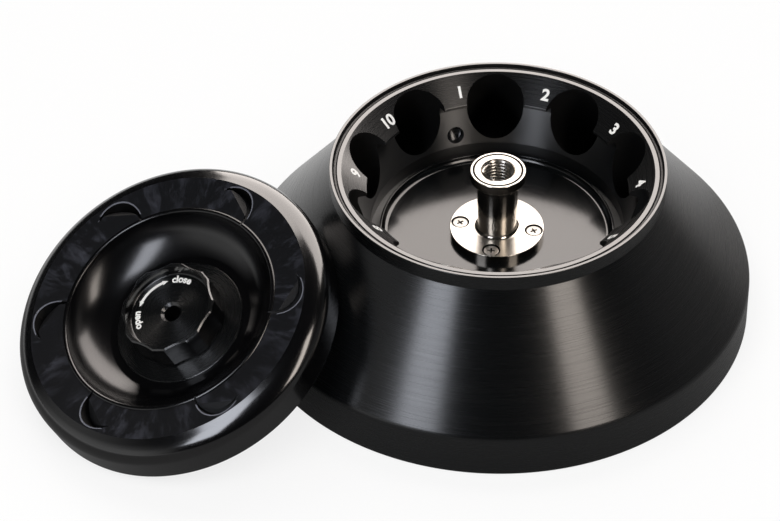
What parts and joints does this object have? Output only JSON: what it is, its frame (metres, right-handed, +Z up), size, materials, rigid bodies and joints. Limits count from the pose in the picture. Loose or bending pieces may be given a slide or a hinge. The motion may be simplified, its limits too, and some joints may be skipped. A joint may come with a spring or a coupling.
{
  "type": "fixed-angle centrifuge rotor with lid",
  "caption": "Black anodised fixed-angle centrifuge rotor for 50 ml tubes, steel hub in an open bowl, with its dished screw-down lid and scalloped knob leaning against the side.",
  "frame": {"origin": "on the spin axis, at the mouth of the shaft bore, in the plane of the rotor's base", "axes": "+Z up along the spin axis, -Y towards the viewer, the lid lies to -X"},
  "size_m": [0.3655, 0.2773, 0.09],
  "materials": {
    "black_anodised": "turned and black anodised",
    "black_anodised_lid": "turned and black anodised, glossier than the rotor",
    "black_anodised_knob": "turned and black anodised, white lettering",
    "black_rubber": "moulded nitrile",
    "stainless": "fine turned",
    "zinc_steel": "bright zinc plate",
    "spring_steel": "blackened",
    "bearing_plastic": "turned acetal"
  },
  "bodies": {
    "rotor": {"rotor_body": "black_anodised", "rim_seal": "black_rubber", "hub_post": "stainless", "hub_screws": "stainless", "hub_flange_seal": "black_rubber", "bolt_washer": "zinc_steel", "bolt_snap_ring": "spring_steel", "shaft_sleeve": "stainless", "sleeve_screws": "stainless", "sleeve_dowels": "zinc_steel"},
    "bolt": {"rotor_bolt": "zinc_steel"},
    "lid": {"lid_shell": "black_anodised_lid", "lid_centre_plate": "black_anodised_lid", "lid_centre_seal": "black_rubber", "spindle_bush": "bearing_plastic", "thrust_washer": "bearing_plastic", "glide_washer": "bearing_plastic"},
    "knob": {"knob": "black_anodised_knob", "knob_spindle": "stainless", "knob_pins": "zinc_steel", "spindle_retainer": "spring_steel"}
  },
  "joints": [
    {"name": "bolt_turn", "type": "hinge", "parent": "rotor", "child": "bolt", "pos_m": [0, 0, 0.04], "axis": [0, 0, 1], "continuous": true},
    {"name": "lid_lift", "type": "slide", "parent": "rotor", "child": "lid", "axis": [0, 0, 1], "range_m": [0, 0.15]},
    {"name": "knob_turn", "type": "hinge", "parent": "lid", "child": "knob", "pos_m": [-0.1559, -0.0678, 0.04085], "axis": [-0.3078, -0.3143, 0.898], "continuous": true}
  ]
}
